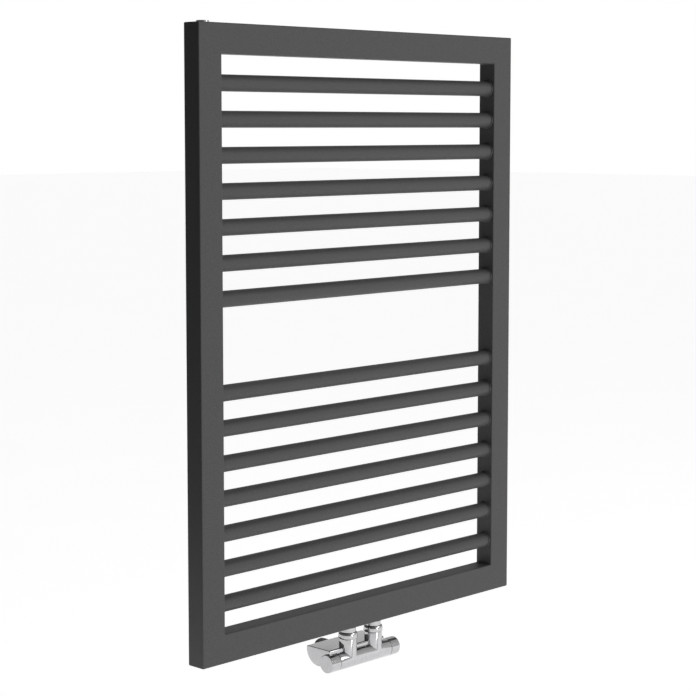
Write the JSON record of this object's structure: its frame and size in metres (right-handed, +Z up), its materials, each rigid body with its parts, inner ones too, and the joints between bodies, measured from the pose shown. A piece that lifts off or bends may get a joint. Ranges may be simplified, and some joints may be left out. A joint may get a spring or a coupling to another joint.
{
  "type": "towel radiator with centre connection valve",
  "caption": "Upright towel radiator: rectangular steel frame with round cross tubes, a wide towel gap, and a chrome twin valve under the middle of the bottom rail.",
  "frame": {"origin": "middle of the four wall fixings, on the back plane of the frame", "axes": "+X to the right seen from the front, +Y towards the wall, +Z up"},
  "size_m": [0.6, 0.069, 0.8659],
  "materials": {
    "anthracite_coat": "fine-textured powder coat, satin",
    "chrome_plate": "bright chrome plate",
    "bare_steel": "bare turned steel",
    "brass": "turned brass",
    "stainless_steel": "drawn stainless wire and rod",
    "seal_rubber": "moulded rubber"
  },
  "bodies": {
    "radiator": {"bottom_left_end_plate": "anthracite_coat", "bottom_rail": "anthracite_coat", "bottom_right_end_plate": "anthracite_coat", "fixing_bosses": "bare_steel", "flow_divider": "bare_steel", "insert_ring": "seal_rubber", "insert_sleeve": "brass", "left_nipple": "chrome_plate", "left_rail_seal": "seal_rubber", "left_socket": "bare_steel", "left_spigot_ring": "seal_rubber", "left_upright": "anthracite_coat", "lock_ring": "seal_rubber", "lock_sleeve": "brass", "return_spring": "stainless_steel", "right_nipple": "chrome_plate", "right_rail_seal": "seal_rubber", "right_socket": "bare_steel", "right_spigot_ring": "seal_rubber", "right_upright": "anthracite_coat", "top_left_end_plate": "anthracite_coat", "top_rail": "anthracite_coat", "top_right_end_plate": "anthracite_coat", "tube_01": "anthracite_coat", "tube_02": "anthracite_coat", "tube_03": "anthracite_coat", "tube_04": "anthracite_coat", "tube_05": "anthracite_coat", "tube_06": "anthracite_coat", "tube_07": "anthracite_coat", "tube_08": "anthracite_coat", "tube_09": "anthracite_coat", "tube_10": "anthracite_coat", "tube_11": "anthracite_coat", "tube_12": "anthracite_coat", "tube_13": "anthracite_coat", "tube_14": "anthracite_coat", "valve_body": "chrome_plate", "vent_boss": "bare_steel", "vent_plug": "chrome_plate", "vent_seal": "seal_rubber"},
    "flow_cap": {"right_cap": "chrome_plate"},
    "flow_pin": {"insert_pin": "stainless_steel", "valve_disc": "seal_rubber"},
    "return_cap": {"left_cap": "chrome_plate"},
    "return_spindle": {"lock_spindle": "brass"},
    "return_disc": {"lock_disc": "seal_rubber"},
    "vent_key_screw": {"vent_screw": "brass"}
  },
  "joints": [
    {"name": "flow_cap_turn", "type": "hinge", "parent": "radiator", "child": "flow_cap", "pos_m": [0.059, -0.014, -0.448], "axis": [-1, 0, 0], "range_deg": [0, 360]},
    {"name": "flow_pin_travel", "type": "slide", "parent": "radiator", "child": "flow_pin", "axis": [-1, 0, 0], "range_m": [0, 0.0015]},
    {"name": "return_cap_off", "type": "slide", "parent": "radiator", "child": "return_cap", "axis": [-1, 0, 0], "range_m": [0, 0.02]},
    {"name": "return_spindle_turn", "type": "hinge", "parent": "radiator", "child": "return_spindle", "pos_m": [-0.045, -0.014, -0.448], "axis": [1, 0, 0], "range_deg": [0, 900]},
    {"name": "return_disc_travel", "type": "slide", "parent": "radiator", "child": "return_disc", "axis": [1, 0, 0], "range_m": [0, 0.0025]},
    {"name": "vent_screw_turn", "type": "hinge", "parent": "radiator", "child": "vent_key_screw", "pos_m": [-0.281, -0.014, 0.402], "axis": [0, 0, 1], "range_deg": [0, 540]}
  ],
  "couplings": [
    {"joint": "flow_pin_travel", "follows": "flow_cap_turn", "m_per_rad": 0.0002387},
    {"joint": "return_disc_travel", "follows": "return_spindle_turn", "m_per_rad": 0.00015915}
  ]
}
